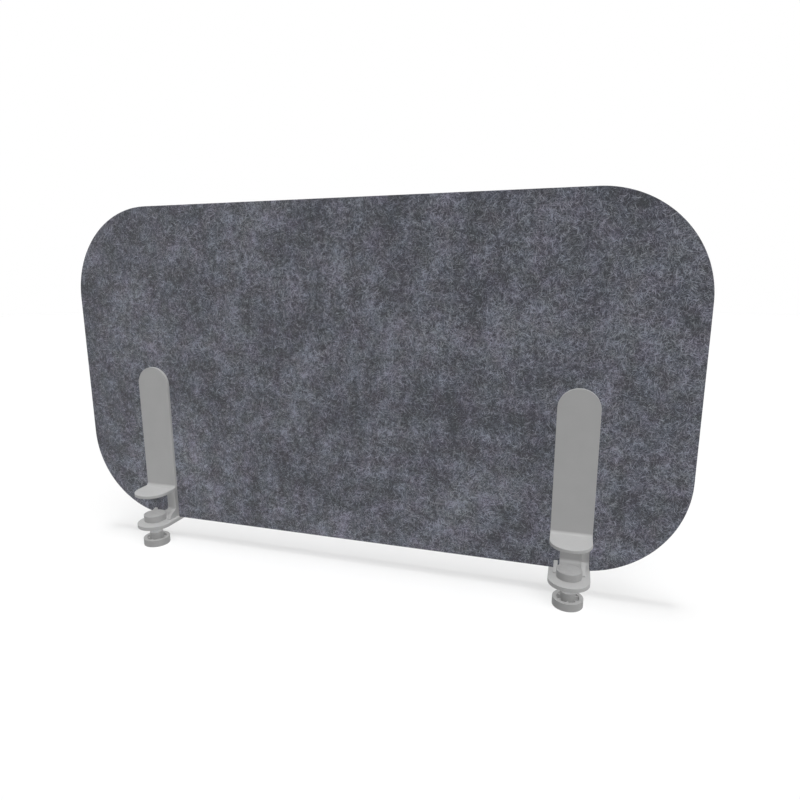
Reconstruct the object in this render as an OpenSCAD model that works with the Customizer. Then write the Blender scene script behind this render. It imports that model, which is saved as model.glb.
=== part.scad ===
// Acoustic divider screen for a desk: a rounded felt panel held by two screw clamps.
// Frame: X along the panel, Y away from the desk user, Z up.
// The origin is on the panel's front face, midway along it, at the level of the desk top.

/* [Panel] */
// Length of the panel
panel_w = 1000; // [800:10:1200]
// Height of the panel
panel_h = 537; // [450:1:700]
// Radius of the panel's four corners
corner_r = 148; // [60:1:180]
// Thickness of one felt board; two are laminated
board_t = 12; // [9:0.5:15]
// How far the panel hangs below the desk top
panel_drop = 51; // [46:0.5:60]

/* [Clamp places] */
// Distance from each end of the panel to the middle of its clamp, before the shift
clamp_inset = 147.2; // [120:0.1:200]
// Shift of both clamps along the panel from its middle
clamp_shift = -7.4; // [-12:0.1:12]

/* [Notch in the panel] */
// Width of the notch
notch_w = 42.4; // [40:0.1:46]
// How far the notch's middle lies to the right of the clamp's middle
notch_shift = 7; // [5:0.1:9]
// Height of the notch above the desk top
notch_rise = 45; // [30:1:60]

/* [Steel blades] */
// Width of the blades and jaws
blade_w = 59; // [56:0.5:66]
// Thickness of the front blade and its jaw
blade_t = 5; // [4:0.1:6]
// Thickness of the lower jaw and its rear blade
jaw_t = 6; // [4:0.1:7]
// Inner radius of both bends
bend_r = 5; // [3:0.1:8]
// Height of the blades' round tops above the desk top
blade_rise = 220.8; // [200:0.1:300]
// Distance from the panel's front face to the clamp screw's axis
jaw_reach = 27.9; // [26:0.1:36]

/* [Jaw liner] */
// Thickness of the soft liner under the upper jaw
liner_t = 1; // [0.6:0.1:2]
// How far the liner's edge lies inside the jaw's
liner_inset = 2; // [1:0.1:4]

/* [Web and ears] */
// Thickness of the web plate and the locating ear
web_t = 6; // [4:0.1:7]
// Distance from the jaws' edges to the outer faces of the ears
ear_inset = 7; // [6.5:0.1:7.5]
// Height of the web's ear above the lower jaw
ear_h = 14.2; // [12:0.1:18]
// Height of the locating ear above the lower jaw
locating_h = 12.2; // [10:0.1:18]
// How far the ears reach forward
ear_reach = 18; // [12:0.1:19]
// Height of the ears' short front edge
ear_toe = 2; // [1:0.1:4]
// Bulge of the ears' curved edge
ear_bulge = 1.6; // [0.8:0.1:2]

/* [Clamp screw] */
// Diameter of the spindle
spindle_d = 16; // [13:0.1:17]
// Rise of the thread in one turn
thread_pitch = 4; // [2:0.5:5]
// Diameter of the spindle's nose in the pad
nose_d = 10; // [8:0.1:11]
// Diameter of the spindle's stub in the knob
stub_d = 12; // [10:0.1:12.5]
// Length of the stub
stub_len = 14; // [8:0.5:16]
// Radial running clearance
run_gap = 0.05; // [0.03:0.01:0.1]

/* [Bush] */
// Diameter of the bush in the lower jaw
bush_d = 22; // [20:0.5:25]
// Diameter of the bush's flange
flange_d = 28; // [26.5:0.5:32]
// Thickness of the bush's flange
flange_t = 1.2; // [1:0.1:2]

/* [Pad] */
// Diameter of the pad
pad_d = 36.4; // [34:0.1:37]
// Height of the pad
pad_h = 11.2; // [10.5:0.1:13]
// Height of the pad's underside above the lower jaw
pad_lift = 3.4; // [2:0.1:5]
// Thickness of the pad's floor
pad_floor = 5; // [4:0.1:5.5]
// Edge chamfer of the pad
pad_chamfer = 0.8; // [0.5:0.1:1.5]
// Diameter of the facing set into the pad
facing_d = 31; // [28:0.1:31.5]
// Thickness of the facing
facing_t = 2; // [1:0.1:2]
// Diameter of the pocket for the clip
pocket_d = 20; // [18:0.5:24]

/* [Clip] */
// Outer diameter of the clip
clip_d = 16; // [14:0.1:17]
// Thickness of the clip
clip_t = 1.2; // [0.8:0.1:1.5]
// Depth of the clip's groove in the nose
groove_depth = 0.8; // [0.5:0.1:1]

/* [Knob] */
// Diameter of the knob
knob_d = 43.5; // [38:0.5:46]
// Width of the knob's rim
rim_w = 5.65; // [3:0.05:6]
// Height of the rim
rim_h = 12.1; // [9:0.1:14]
// Diameter of the hub
hub_d = 22; // [20:0.5:24]
// Height of the hub
hub_h = 21.8; // [20:0.1:24]
// Thickness of the knob's floor
knob_floor = 3; // [2:0.1:4]
// Number of ribs between hub and rim
rib_n = 6; // [3:1:8]
// Thickness of a rib
rib_t = 2.4; // [1.5:0.1:3.5]
// How far a rib's top lies below the rim's
rib_drop = 1.5; // [0.5:0.1:4]
// Edge chamfer of the knob
knob_chamfer = 0.5; // [0.4:0.1:1.2]
// Distance from the panel's bottom edge to the knob's underside
knob_drop = 40.3; // [38:0.1:46]

/* [Knob screw] */
// Diameter of the knob screw's shank
fix_d = 6; // [4:0.5:7]
// Diameter of its countersunk head
fix_head_d = 11.4; // [9.5:0.1:13]
// Reach of the knob screw into the spindle
fix_reach = 8; // [5:0.5:12]
// How far its head is sunk into the knob
fix_sink = 0.6; // [0.3:0.1:1]
// Width of the hexagon socket across its corners
socket_d = 4.6; // [3:0.1:5]
// Depth of the socket
socket_depth = 2; // [1:0.1:2.5]

/* [Panel screws] */
// Diameter of a panel screw's shank
screw_d = 4.2; // [3:0.1:5]
// Length of the shank under the head
screw_len = 22; // [19:0.5:24]
// Diameter of the head
screw_head_d = 9.5; // [8:0.1:12]
// Height of the head
screw_head_h = 3; // [2:0.1:3.5]
// Number of screws in each rear blade
screw_n = 3; // [2:1:3]
// Distance between screws
screw_pitch = 55; // [40:1:60]
// Height of the lowest screw above the desk top
screw_rise = 82; // [70:1:90]

/* [Hidden] */
$fn = 96;

// Signs of the two clamps
left = -1;
right = 1;

// Overrun of every cut past the face it starts from
over = 0.5;
// Gap between pieces that turn against each other end to end
end_gap = 0.1;
// Gap between the web and the walls of the notch
notch_gap = 0.3;
// Gap between the felt and the inside of the lower jaw's bend
felt_gap = 0.3;

// Levels, from the desk top
panel_z0 = -panel_drop;
jaw_top = panel_z0;
jaw_under = jaw_top - jaw_t;
pad_z0 = jaw_top + pad_lift;
pad_z1 = pad_z0 + pad_h;
knob_z0 = panel_z0 - knob_drop;
hub_z1 = knob_z0 + hub_h;
flange_z0 = jaw_under - flange_t;
pocket_z0 = pad_z0 + pad_floor;
facing_z0 = pad_z1 - facing_t;
clip_z0 = pocket_z0 + end_gap;
nose_z1 = facing_z0 - end_gap;

// Planes across the panel, and the clamps along it
panel_t = 2 * board_t;
clamp_pitch = panel_w - 2 * clamp_inset;
blade_r = blade_w / 2;
blade_z1 = blade_rise - blade_r;

// Travel of the pad and the turns that give it
travel_down = pad_lift - end_gap;
travel_up = flange_z0 - hub_z1 - end_gap;
turn_down = 360 * travel_down / thread_pitch;
turn_up = 360 * travel_up / thread_pitch;
echo(travel_down = travel_down, travel_up = travel_up, turn_down = turn_down, turn_up = turn_up);

// Notch and web places, from the clamp's middle
notch_x0 = notch_shift - notch_w / 2;
web_x0 = blade_r - ear_inset - web_t;
web_z1 = notch_rise - notch_gap;

// Colours
felt_grey = [0.26, 0.27, 0.29];
steel_grey = [0.62, 0.63, 0.64];
moulded_grey = [0.55, 0.56, 0.57];
rubber_grey = [0.45, 0.46, 0.47];
zinc = [0.7, 0.7, 0.68];

module at_clamp(side)
{
    translate([side * clamp_pitch / 2 + clamp_shift, 0, 0]) children();
}

module each_screw()
{
    for (i = [0 : screw_n - 1])
        translate([0, 0, screw_rise + i * screw_pitch]) children();
}

// Upright plate of a 2D shape drawn in X and Z, its front face at y0
module upright(y0, t)
{
    translate([0, y0 + t, 0]) rotate([90, 0, 0]) linear_extrude(t) children();
}

// Plate across the clamp of a 2D shape drawn in Y and Z, its left face at x0
module crosswise(x0, t)
{
    translate([x0, 0, 0]) rotate([90, 0, 90]) linear_extrude(t) children();
}

// Revolved piece on the clamp screw's axis
module on_axis()
{
    translate([0, -jaw_reach, 0]) children();
}

module ring_2d(r0, r1, z0, z1)
{
    translate([r0, z0]) square([r1 - r0, z1 - z0]);
}

// Panel

module panel_outline()
{
    z1 = panel_z0 + panel_h;
    translate([-panel_w / 2 + corner_r, panel_z0]) square([panel_w - 2 * corner_r, panel_h]);
    translate([-panel_w / 2, panel_z0 + corner_r]) square([panel_w, panel_h - 2 * corner_r]);
    for (sx = [left, right], z = [panel_z0 + corner_r, z1 - corner_r])
        translate([sx * (panel_w / 2 - corner_r), z]) circle(corner_r);
}

module notched_outline()
{
    difference() {
        panel_outline();
        for (side = [left, right])
            translate([side * clamp_pitch / 2 + clamp_shift + notch_x0, panel_z0 - over])
                square([notch_w, panel_drop + notch_rise + over]);
    }
}

module screw_holes(y0, y1)
{
    for (side = [left, right])
        at_clamp(side) each_screw()
            translate([0, y1, 0]) rotate([90, 0, 0]) cylinder(d = screw_d, h = y1 - y0);
}

module felt_front_board()
{
    color(felt_grey) difference() {
        upright(0, board_t) notched_outline();
        screw_holes(panel_t + jaw_t - screw_len, board_t + over);
    }
}

// Corner of the felt that the lower jaw's bend takes up
module bend_relief()
{
    r = bend_r - felt_gap;
    w = blade_w + 2 * felt_gap;
    crosswise(-w / 2, w) translate([panel_t - bend_r, jaw_top + bend_r]) difference() {
        translate([0, -bend_r - over]) square([bend_r + over, bend_r + over]);
        circle(r);
    }
}

module felt_rear_board()
{
    color(felt_grey) difference() {
        upright(board_t, board_t) notched_outline();
        screw_holes(board_t - over, panel_t + over);
        for (side = [left, right]) at_clamp(side) bend_relief();
    }
}

// Pan-head screw driven forward through the rear blade into the felt
module panel_screw()
{
    head_y0 = panel_t + jaw_t;
    dome_r = (pow(screw_head_d / 2, 2) + pow(screw_head_h, 2)) / (2 * screw_head_h);
    translate([0, head_y0, 0]) rotate([-90, 0, 0]) {
        translate([0, 0, -screw_len]) cylinder(d = screw_d, h = screw_len);
        difference() {
            intersection() {
                cylinder(d = screw_head_d, h = screw_head_h);
                translate([0, 0, screw_head_h - dome_r]) sphere(dome_r);
            }
            translate([0, 0, screw_head_h / 3])
                cylinder(d = screw_d * 0.9, h = screw_head_h, $fn = 6);
        }
    }
}

module panel_screws()
{
    color(zinc) for (side = [left, right]) at_clamp(side) each_screw() panel_screw();
}

// Steelwork of a clamp

// Blade seen from the front, with its round top
module blade_outline(z0)
{
    translate([-blade_r, z0]) square([blade_w, blade_z1 - z0]);
    translate([0, blade_z1]) circle(blade_r);
}

// Jaw seen from above, with its round nose, inset all round and cut off at y1
module jaw_outline(y1, inset)
{
    r = blade_r - inset;
    intersection() {
        translate([0, -jaw_reach]) circle(r);
        translate([-r, -jaw_reach - r]) square([2 * r, r]);
    }
    translate([-r, -jaw_reach]) square([2 * r, jaw_reach + y1]);
}

// Quarter ring in Y and Z; each sign says on which side of the centre it lies
module bend_2d(r, t, sy, sz)
{
    intersection() {
        difference() {
            circle(r + t);
            circle(r);
        }
        translate([sy < 0 ? -r - t : 0, sz < 0 ? -r - t : 0]) square(r + t);
    }
}

module front_blade()
{
    under = liner_t;
    color(steel_grey) {
        upright(-blade_t, blade_t) blade_outline(under + blade_t + bend_r);
        crosswise(-blade_r, blade_w)
            translate([-blade_t - bend_r, under + blade_t + bend_r]) bend_2d(bend_r, blade_t, right, left);
        translate([0, 0, under]) linear_extrude(blade_t) jaw_outline(-blade_t - bend_r, 0);
    }
}

module jaw_liner()
{
    color(rubber_grey) linear_extrude(liner_t) jaw_outline(-blade_t - bend_r - liner_inset, liner_inset);
}

module lower_jaw()
{
    bend_y = panel_t - bend_r;
    color(steel_grey) difference() {
        union() {
            translate([0, 0, jaw_under]) linear_extrude(jaw_t) jaw_outline(bend_y, 0);
            crosswise(-blade_r, blade_w)
                translate([bend_y, jaw_top + bend_r]) bend_2d(bend_r, jaw_t, right, left);
            upright(panel_t, jaw_t) blade_outline(jaw_top + bend_r);
        }
        on_axis() translate([0, 0, jaw_under - over]) cylinder(d = bush_d, h = jaw_t + 2 * over);
        each_screw() translate([0, panel_t + jaw_t + over, 0])
            rotate([90, 0, 0]) cylinder(d = screw_d + 2 * run_gap, h = jaw_t + 2 * over);
    }
}

// Ear in Y and Z: a straight foot and back of height h and one bulged edge down to the toe
module ear_2d(h)
{
    rise = h - ear_toe;
    chord = norm([ear_reach, rise]);
    r = pow(chord, 2) / (8 * ear_bulge) + ear_bulge / 2;
    back = (r - ear_bulge) / chord;
    intersection() {
        translate([-ear_reach, 0]) square([ear_reach, h]);
        translate([-ear_reach / 2 + back * rise, ear_toe + rise / 2 - back * ear_reach]) circle(r);
    }
}

module ear()
{
    color(steel_grey) crosswise(ear_inset - blade_r, web_t) translate([0, jaw_top]) ear_2d(locating_h);
}

// Web through the notch, with its own ear in front and its heel rounded to the lower jaw's bend
module web()
{
    color(steel_grey) crosswise(web_x0, web_t) translate([0, jaw_top]) {
        ear_2d(ear_h);
        difference() {
            square([panel_t, web_z1 - jaw_top]);
            translate([panel_t - bend_r, 0]) square(bend_r);
        }
        translate([panel_t - bend_r, bend_r]) circle(bend_r);
    }
}

// Clamp screw

module thread_bush()
{
    color(zinc) on_axis() rotate_extrude() {
        ring_2d(spindle_d / 2 + run_gap, bush_d / 2, flange_z0, jaw_top);
        ring_2d(spindle_d / 2 + run_gap, flange_d / 2, flange_z0, jaw_under);
    }
}

module spindle()
{
    stub_z0 = hub_z1 - stub_len;
    fix_z1 = stub_z0 + fix_reach;
    shoulder_z = pad_z0 - end_gap;
    nose_r = nose_d / 2;
    color(zinc) on_axis() difference() {
        rotate_extrude() {
            ring_2d(0, stub_d / 2, stub_z0, shoulder_z);
            ring_2d(0, spindle_d / 2, hub_z1, shoulder_z);
            ring_2d(0, nose_r - groove_depth, shoulder_z, nose_z1);
            ring_2d(0, nose_r, shoulder_z, clip_z0);
            ring_2d(0, nose_r, clip_z0 + clip_t, nose_z1);
        }
        translate([0, 0, stub_z0 - over]) cylinder(d = fix_d, h = fix_reach + over);
    }
}

module pad()
{
    r = pad_d / 2;
    c = pad_chamfer;
    color(moulded_grey) on_axis() difference() {
        rotate_extrude()
            polygon([[0, pad_z0], [r - c, pad_z0], [r, pad_z0 + c], [r, pad_z1 - c],
                [r - c, pad_z1], [0, pad_z1]]);
        translate([0, 0, pad_z0 - over]) cylinder(d = nose_d + 2 * run_gap, h = pad_h);
        translate([0, 0, pocket_z0]) cylinder(d = pocket_d, h = pad_h);
        translate([0, 0, facing_z0]) cylinder(d = facing_d, h = facing_t + over);
    }
}

module pad_facing()
{
    color(rubber_grey) on_axis() translate([0, 0, facing_z0]) cylinder(d = facing_d, h = facing_t);
}

module pad_clip()
{
    gap_w = nose_d / 2;
    color(zinc) on_axis() translate([0, 0, clip_z0]) difference() {
        cylinder(d = clip_d, h = clip_t);
        translate([0, 0, -over]) cylinder(d = nose_d - 2 * groove_depth, h = clip_t + 2 * over);
        translate([-gap_w / 2, 0, -over]) cube([gap_w, clip_d, clip_t + 2 * over]);
    }
}

// Knob

module knob_rib()
{
    rib_h = rim_h - rib_drop - knob_floor;
    translate([hub_d / 2 - rib_t / 2, -rib_t / 2, knob_floor])
        cube([knob_d / 2 - rim_w - hub_d / 2 + rib_t, rib_t, rib_h]);
}

module knob()
{
    r = knob_d / 2;
    c = knob_chamfer;
    stub_z0 = hub_h - stub_len;
    head_h = (fix_head_d - fix_d) / 2;
    color(moulded_grey) on_axis() translate([0, 0, knob_z0]) difference() {
        union() {
            rotate_extrude()
                polygon([[0, 0], [r - c, 0], [r, c], [r, rim_h - c], [r - c, rim_h],
                    [r - rim_w + c, rim_h], [r - rim_w, rim_h - c], [r - rim_w, knob_floor],
                    [hub_d / 2, knob_floor], [hub_d / 2, hub_h - c], [hub_d / 2 - c, hub_h], [0, hub_h]]);
            for (i = [0 : rib_n - 1]) rotate([0, 0, (i + 0.5) * 360 / rib_n]) knob_rib();
        }
        translate([0, 0, stub_z0]) cylinder(d = stub_d, h = stub_len + over);
        translate([0, 0, -over]) cylinder(d = fix_d, h = hub_h);
        translate([0, 0, -over]) cylinder(d = fix_head_d, h = fix_sink + over);
        translate([0, 0, fix_sink]) cylinder(d1 = fix_head_d, d2 = fix_d, h = head_h);
    }
}

module knob_screw()
{
    stub_z0 = hub_h - stub_len;
    head_h = (fix_head_d - fix_d) / 2;
    color(zinc) on_axis() translate([0, 0, knob_z0 + fix_sink]) difference() {
        union() {
            cylinder(d1 = fix_head_d, d2 = fix_d, h = head_h);
            cylinder(d = fix_d, h = stub_z0 + fix_reach - fix_sink);
        }
        translate([0, 0, -over]) cylinder(d = socket_d, h = socket_depth + over, $fn = 6);
    }
}

felt_front_board();
felt_rear_board();
panel_screws();

at_clamp(left) front_blade();  // front_blade_left
at_clamp(left) jaw_liner();  // jaw_liner_left
at_clamp(left) lower_jaw();  // lower_jaw_left
at_clamp(left) web();  // web_left
at_clamp(left) ear();  // ear_left
at_clamp(left) thread_bush();  // thread_bush_left
at_clamp(left) spindle();  // spindle_left
at_clamp(left) knob();  // knob_left
at_clamp(left) knob_screw();  // knob_screw_left
at_clamp(left) pad();  // pad_left
at_clamp(left) pad_facing();  // pad_facing_left
at_clamp(left) pad_clip();  // pad_clip_left

at_clamp(right) front_blade();  // front_blade_right
at_clamp(right) jaw_liner();  // jaw_liner_right
at_clamp(right) lower_jaw();  // lower_jaw_right
at_clamp(right) web();  // web_right
at_clamp(right) ear();  // ear_right
at_clamp(right) thread_bush();  // thread_bush_right
at_clamp(right) spindle();  // spindle_right
at_clamp(right) knob();  // knob_right
at_clamp(right) knob_screw();  // knob_screw_right
at_clamp(right) pad();  // pad_right
at_clamp(right) pad_facing();  // pad_facing_right
at_clamp(right) pad_clip();  // pad_clip_right
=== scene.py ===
"""Looks of the acoustic divider screen: the felt panel and its two desk clamps.

Every length is in metres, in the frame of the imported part: X along the panel, Y away
from the desk user, Z up, the origin on the panel's front face at desk level.
"""

import logging
import math
from collections.abc import Callable, Iterator, Sequence
from contextlib import contextmanager
from dataclasses import dataclass
from enum import Enum

import bmesh
import bpy
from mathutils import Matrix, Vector


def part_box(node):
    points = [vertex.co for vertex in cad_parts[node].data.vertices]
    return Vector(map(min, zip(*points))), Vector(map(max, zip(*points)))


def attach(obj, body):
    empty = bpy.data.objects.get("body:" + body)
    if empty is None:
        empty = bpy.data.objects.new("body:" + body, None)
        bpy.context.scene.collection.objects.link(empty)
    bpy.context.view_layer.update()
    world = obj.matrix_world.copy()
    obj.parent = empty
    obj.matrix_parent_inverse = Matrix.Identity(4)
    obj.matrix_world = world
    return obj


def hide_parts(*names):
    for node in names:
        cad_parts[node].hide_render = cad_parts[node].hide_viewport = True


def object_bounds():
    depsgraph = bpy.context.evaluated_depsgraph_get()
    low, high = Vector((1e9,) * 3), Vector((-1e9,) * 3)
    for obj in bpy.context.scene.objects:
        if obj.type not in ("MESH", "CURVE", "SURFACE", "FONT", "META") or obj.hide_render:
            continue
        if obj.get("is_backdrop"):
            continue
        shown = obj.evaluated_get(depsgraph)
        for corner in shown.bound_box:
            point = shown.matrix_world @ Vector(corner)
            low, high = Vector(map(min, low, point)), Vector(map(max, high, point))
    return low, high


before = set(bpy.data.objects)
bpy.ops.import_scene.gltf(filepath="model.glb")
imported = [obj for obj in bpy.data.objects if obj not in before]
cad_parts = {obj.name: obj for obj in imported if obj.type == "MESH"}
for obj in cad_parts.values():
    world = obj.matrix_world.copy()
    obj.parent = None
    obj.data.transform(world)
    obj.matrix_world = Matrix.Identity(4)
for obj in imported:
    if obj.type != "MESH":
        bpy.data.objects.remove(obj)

MM = 0.001
NEAR = 0.01 * MM
SIDES = ("left", "right")
BOARDS = ("felt_front_board", "felt_rear_board")

# How finely round shapes are divided.
ARC_STEPS = 24
TURN_STEPS = 96
THREAD_STEPS = 64
HOLE_STEPS = 32
DISC_STEPS = 256
PROFILE_STEPS = 4
EDGE_STEPS = 3
SOCKET_SIDES = 6
SMOOTH_ANGLE = math.radians(38)

# How many thicknesses long a rod is that goes well through a plate, and how rods are turned.
THROUGH = 4
UPRIGHT = Vector((0, 0, 0))
ALONG_X = Vector((0, math.pi / 2, 0))
ALONG_Y = Vector((math.pi / 2, 0, 0))

# Where most values of a noise lie, where its tints stand, and how far above its middle
# the palest of crossing fibres is.
LOW_TONE = 0.3
HIGH_TONE = 0.7
TINT_PLACES = (0.35, 0.5, 0.65)
FIBRE_LIFT = 0.14
WHITE = (1, 1, 1)

Piece = bpy.types.Object
Socket = bpy.types.NodeSocket

log = logging.getLogger("divider_screen")


class Pick(Enum):
    """What an edit-mode selection picks out."""

    VERTS = "VERT"
    EDGES = "EDGE"


class Cut(Enum):
    """How a second solid shapes the first."""

    REMOVE = "DIFFERENCE"
    ADD = "UNION"
    KEEP_SHARED = "INTERSECT"


class Slot(Enum):
    """The finishes of the object, named as in the record."""

    FELT = "felt"
    STEEL = "steel"
    MOULDED = "moulded"
    ZINC = "zinc"
    LINER = "liner"
    FACING = "facing"


# Modelling steps


def activate(*pieces: Piece) -> None:
    """Select only these pieces and make the first one active."""
    bpy.ops.object.select_all(action="DESELECT")
    for piece in pieces:
        piece.select_set(True)
    bpy.context.view_layer.objects.active = pieces[0]


@contextmanager
def editing(piece: Piece) -> Iterator[None]:
    """Open one piece in edit mode and close it afterwards.

    Args:
        piece: The mesh object to edit.
    """
    activate(piece)
    bpy.ops.object.mode_set(mode="EDIT")
    yield
    bpy.ops.object.mode_set(mode="OBJECT")


def pick(piece: Piece, kind: Pick, wanted: Callable[..., bool]) -> None:
    """Select in edit mode only the elements that pass a test.

    Args:
        piece: The mesh object being edited.
        kind: Whether vertices or edges are picked.
        wanted: Says whether an element is picked.
    """
    bpy.ops.mesh.select_mode(type=kind.value)
    bpy.ops.mesh.select_all(action="DESELECT")
    mesh = bmesh.from_edit_mesh(piece.data)
    for element in mesh.verts if kind is Pick.VERTS else mesh.edges:
        if wanted(element):
            element.select_set(True)
    bmesh.update_edit_mesh(piece.data)


def round_corners(radius: float, steps: int = ARC_STEPS) -> None:
    """Round the selected corner points of an outline with arcs."""
    bpy.ops.mesh.bevel(
        offset=radius, offset_type="OFFSET", segments=steps, profile=0.5, affect="VERTICES"
    )


def clean_skin() -> None:
    """Merge doubled points and turn all faces outwards, in edit mode."""
    bpy.ops.mesh.select_all(action="SELECT")
    bpy.ops.mesh.remove_doubles(threshold=NEAR)
    bpy.ops.mesh.normals_make_consistent(inside=False)


def set_place(piece: Piece) -> None:
    """Move a piece's place, turn and scale into its mesh."""
    activate(piece)
    bpy.ops.object.transform_apply(location=True, rotation=True, scale=True)


def apply_modifier(piece: Piece, kind: str, **settings: object) -> None:
    """Add one modifier with its settings and apply it.

    Args:
        piece: The mesh object.
        kind: The modifier's type.
        settings: Its properties by name.
    """
    activate(piece)
    modifier = piece.modifiers.new(kind.lower(), kind)
    for name, value in settings.items():
        setattr(modifier, name, value)
    bpy.ops.object.modifier_apply(modifier=modifier.name)


def combine(piece: Piece, tool: Piece, how: Cut) -> None:
    """Shape a piece with a second solid, which is used up.

    Args:
        piece: The mesh object that stays.
        tool: The mesh object that cuts it or is added to it.
        how: Which of the two is done.
    """
    apply_modifier(piece, "BOOLEAN", object=tool, operation=how.value, solver="EXACT")
    bpy.data.objects.remove(tool)


def join(pieces: Sequence[Piece]) -> Piece:
    """Join several meshes to one piece and return it.

    Args:
        pieces: The mesh objects.

    Returns:
        The first of them, which holds them all.
    """
    activate(*pieces)
    bpy.ops.object.join()
    return pieces[0]


def copied(piece: Piece) -> Piece:
    """Copy a piece with its mesh.

    Args:
        piece: The mesh object.

    Returns:
        The copy, which has its own mesh.
    """
    activate(piece)
    bpy.ops.object.duplicate(linked=False)
    return bpy.context.object


def soften(piece: Piece, width: float) -> None:
    """Round every sharp edge of a piece a little."""
    apply_modifier(
        piece, "BEVEL", width=width, segments=EDGE_STEPS, limit_method="ANGLE",
        angle_limit=SMOOTH_ANGLE, miter_outer="MITER_ARC",
    )


def block(low: Vector, high: Vector) -> Piece:
    """Add a block.

    Args:
        low: Its low corner.
        high: Its high corner.

    Returns:
        The block, with its place in its mesh.
    """
    bpy.ops.mesh.primitive_cube_add(size=1, location=(low + high) / 2)
    piece = bpy.context.object
    piece.scale = high - low
    set_place(piece)
    return piece


def rod(centre: Vector, radius: float, depth: float, steps: int, turn: Vector = UPRIGHT) -> Piece:
    """Add a straight rod.

    Args:
        centre: Its middle.
        radius: Its radius, to the corners.
        depth: Its length.
        steps: Its number of sides.
        turn: Its turn about X, Y and Z from upright.

    Returns:
        The rod, with its place in its mesh.
    """
    bpy.ops.mesh.primitive_cylinder_add(
        vertices=steps, radius=radius, depth=depth, location=centre, rotation=turn
    )
    piece = bpy.context.object
    set_place(piece)
    return piece


@dataclass(frozen=True)
class Corner:
    """A corner of a turned piece's profile: radius, height and rounding."""

    r: float
    z: float
    rounding: float = 0.0


def draw_profile(axis: Vector, corners: Sequence[Corner], closed: bool) -> Piece:
    """Draw a chain of edges beside an upright axis.

    Args:
        axis: A point on the axis, at height zero.
        corners: The profile's corners in order.
        closed: Whether the last corner is joined to the first.

    Returns:
        The chain, with its origin on the axis.
    """
    bpy.ops.mesh.primitive_plane_add(size=MM, location=axis)
    piece = bpy.context.object
    with editing(piece):
        bpy.ops.mesh.select_mode(type="VERT")
        bpy.ops.mesh.select_all(action="SELECT")
        bpy.ops.mesh.merge(type="CENTER")
        bpy.ops.transform.translate(value=(corners[0].r, 0, corners[0].z))
        for here, there in zip(corners, corners[1:]):
            step = {"value": (there.r - here.r, 0, there.z - here.z), "orient_type": "GLOBAL"}
            bpy.ops.mesh.extrude_region_move(TRANSFORM_OT_translate=step)
        if closed:
            ends = [Vector((c.r, 0, c.z)) for c in (corners[0], corners[-1])]
            pick(piece, Pick.VERTS, lambda v: min((v.co - end).length for end in ends) < NEAR)
            bpy.ops.mesh.edge_face_add()
        for corner in corners:
            if corner.rounding:
                spot = Vector((corner.r, 0, corner.z))
                pick(piece, Pick.VERTS, lambda v: (v.co - spot).length < NEAR)
                round_corners(corner.rounding, PROFILE_STEPS)
    return piece


def turn_piece(axis: Vector, corners: Sequence[Corner], closed: bool = True) -> Piece:
    """Turn a profile about an upright axis.

    Args:
        axis: A point on the axis, at height zero.
        corners: The profile's corners in order.
        closed: Whether the profile is a closed ring, clear of the axis.

    Returns:
        The turned piece, with its place in its mesh.
    """
    piece = draw_profile(axis, corners, closed)
    apply_modifier(
        piece, "SCREW", axis="Z", angle=math.tau, steps=TURN_STEPS, render_steps=TURN_STEPS,
        use_merge_vertices=True, merge_threshold=NEAR,
    )
    with editing(piece):
        clean_skin()
    set_place(piece)
    return piece


# Finishes


class Wiring:
    """A node tree being wired."""

    def __init__(self, tree: bpy.types.NodeTree) -> None:
        """Take up the tree of a material or a world."""
        self.tree = tree

    def fill(self, socket: Socket, value: object) -> None:
        """Give a socket a value, or link it where the value is a socket too.

        Args:
            socket: The socket.
            value: Its value, or the socket that it is linked to.
        """
        if isinstance(value, Socket):
            self.tree.links.new(value, socket)
        else:
            socket.default_value = value

    def add(self, kind: str, inputs: dict | None = None, **settings: object) -> bpy.types.Node:
        """Add a node.

        Args:
            kind: The node's type.
            inputs: Values or sockets by input name or index.
            settings: The node's own properties.

        Returns:
            The node.
        """
        node = self.tree.nodes.new(kind)
        for name, value in settings.items():
            setattr(node, name, value)
        for name, value in (inputs or {}).items():
            self.fill(node.inputs[name], value)
        return node

    def math(self, how: str, first: object, second: object) -> Socket:
        """Combine two values."""
        return self.add("ShaderNodeMath", {0: first, 1: second}, operation=how).outputs[0]

    def seen_by_eye(self) -> Socket:
        """A value of 1 for camera, glossy and transmitted rays, else 0.

        Returns:
            The value.
        """
        path = self.add("ShaderNodeLightPath").outputs
        seen = path["Is Camera Ray"]
        for name in ("Is Glossy Ray", "Is Transmission Ray"):
            seen = self.math("MAXIMUM", seen, path[name])
        return seen

    def mix(self, share: object, first: bpy.types.Node, second: bpy.types.Node) -> bpy.types.Node:
        """Mix two shaders.

        Args:
            share: How much of the second one is mixed in.
            first: The first shader's node.
            second: The second one's.

        Returns:
            The mixing node.
        """
        inputs = {0: share, 1: first.outputs[0], 2: second.outputs[0]}
        return self.add("ShaderNodeMixShader", inputs)

    def show(self, shader: bpy.types.Node, output: str) -> None:
        """Wire a shader to the tree's output node of that name."""
        self.fill(self.tree.nodes[output].inputs["Surface"], shader.outputs[0])


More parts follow.
